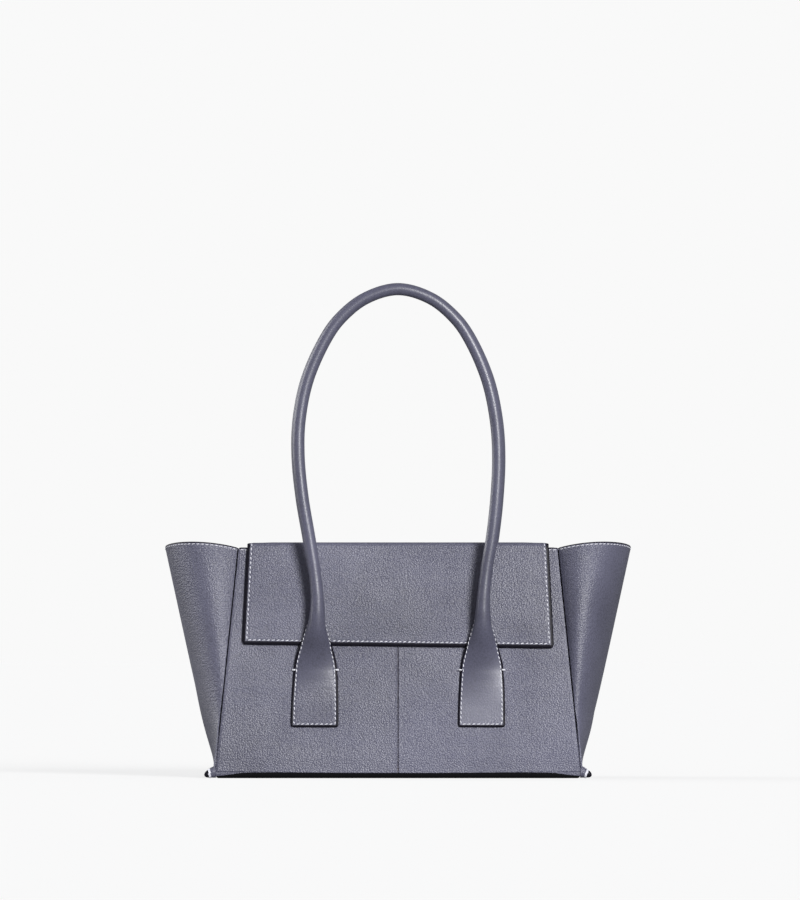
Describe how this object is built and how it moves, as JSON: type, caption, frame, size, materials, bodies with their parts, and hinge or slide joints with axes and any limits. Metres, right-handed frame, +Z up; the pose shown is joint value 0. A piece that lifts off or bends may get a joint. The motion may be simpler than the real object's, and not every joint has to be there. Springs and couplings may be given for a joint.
{
  "type": "flap tote bag",
  "caption": "Winged leather tote bag with a fold-over front flap and tall rolled shoulder handles on stitched tabs.",
  "frame": {"origin": "middle of the base on the surface that the bag stands on", "axes": "+X to the right seen from the front, the front with its flap towards -Y, +Z up"},
  "size_m": [0.4212, 0.1646, 0.4494],
  "materials": {
    "grained_leather": "fine pebble grain, semi-matt, navy grey, with dark painted edges and off-white stitching",
    "suede": "napped suede on the flap's underside",
    "lining_fabric": "plain woven cotton lining, dark navy grey",
    "fibre_board": "bonded fibre board, hidden between leather and lining",
    "magnet_steel": "plated magnet discs, hidden in the boards",
    "cotton_rope": "soft cotton rope inside the handles"
  },
  "bodies": {
    "bag_body": {"front_panel_left": "grained_leather", "front_panel_right": "grained_leather", "back_panel": "grained_leather", "gusset_left": "grained_leather", "gusset_right": "grained_leather", "base_panel": "grained_leather", "corner_ear_front_left": "grained_leather", "corner_ear_front_right": "grained_leather", "corner_ear_back_left": "grained_leather", "corner_ear_back_right": "grained_leather", "front_facing": "grained_leather", "back_facing": "grained_leather", "flap_anchor": "grained_leather", "front_tab_left": "grained_leather", "front_tab_right": "grained_leather", "rear_tab_left": "grained_leather", "rear_tab_right": "grained_leather", "front_lining": "lining_fabric", "back_lining": "lining_fabric", "gusset_lining_left": "lining_fabric", "gusset_lining_right": "lining_fabric", "base_lining": "lining_fabric", "slip_pocket": "lining_fabric", "front_stiffener": "fibre_board", "back_stiffener": "fibre_board", "base_board": "fibre_board", "panel_magnet_left": "magnet_steel", "panel_magnet_right": "magnet_steel"},
    "flap_top_section": {"flap_top_leather": "grained_leather", "flap_top_stiffener": "fibre_board", "flap_top_lining": "suede"},
    "flap_front_section": {"flap_front_leather": "grained_leather", "flap_front_stiffener": "fibre_board", "flap_front_lining": "suede", "flap_magnet_left": "magnet_steel", "flap_magnet_right": "magnet_steel"},
    "front_handle_loop": {"front_handle": "grained_leather", "front_handle_core": "cotton_rope"},
    "rear_handle_loop": {"rear_handle": "grained_leather", "rear_handle_core": "cotton_rope"}
  },
  "joints": [
    {"name": "flap_lift", "type": "hinge", "parent": "bag_body", "child": "flap_top_section", "pos_m": [0, 0.044, 0.2118], "axis": [-1, 0, 0], "range_deg": [0, 95]},
    {"name": "flap_fold", "type": "hinge", "parent": "flap_top_section", "child": "flap_front_section", "pos_m": [0, -0.04564, 0.2078], "axis": [-1, 0, 0], "range_deg": [-62, 0]},
    {"name": "front_handle_swing", "type": "hinge", "parent": "bag_body", "child": "front_handle_loop", "pos_m": [0, -0.06226, 0.098], "axis": [1, 0, 0], "range_deg": [0, 100]},
    {"name": "rear_handle_swing", "type": "hinge", "parent": "bag_body", "child": "rear_handle_loop", "pos_m": [0, 0.06226, 0.098], "axis": [-1, 0, 0], "range_deg": [0, 100]}
  ],
  "couplings": [
    {"joint": "flap_fold", "follows": "flap_lift", "ratio": -0.65}
  ]
}
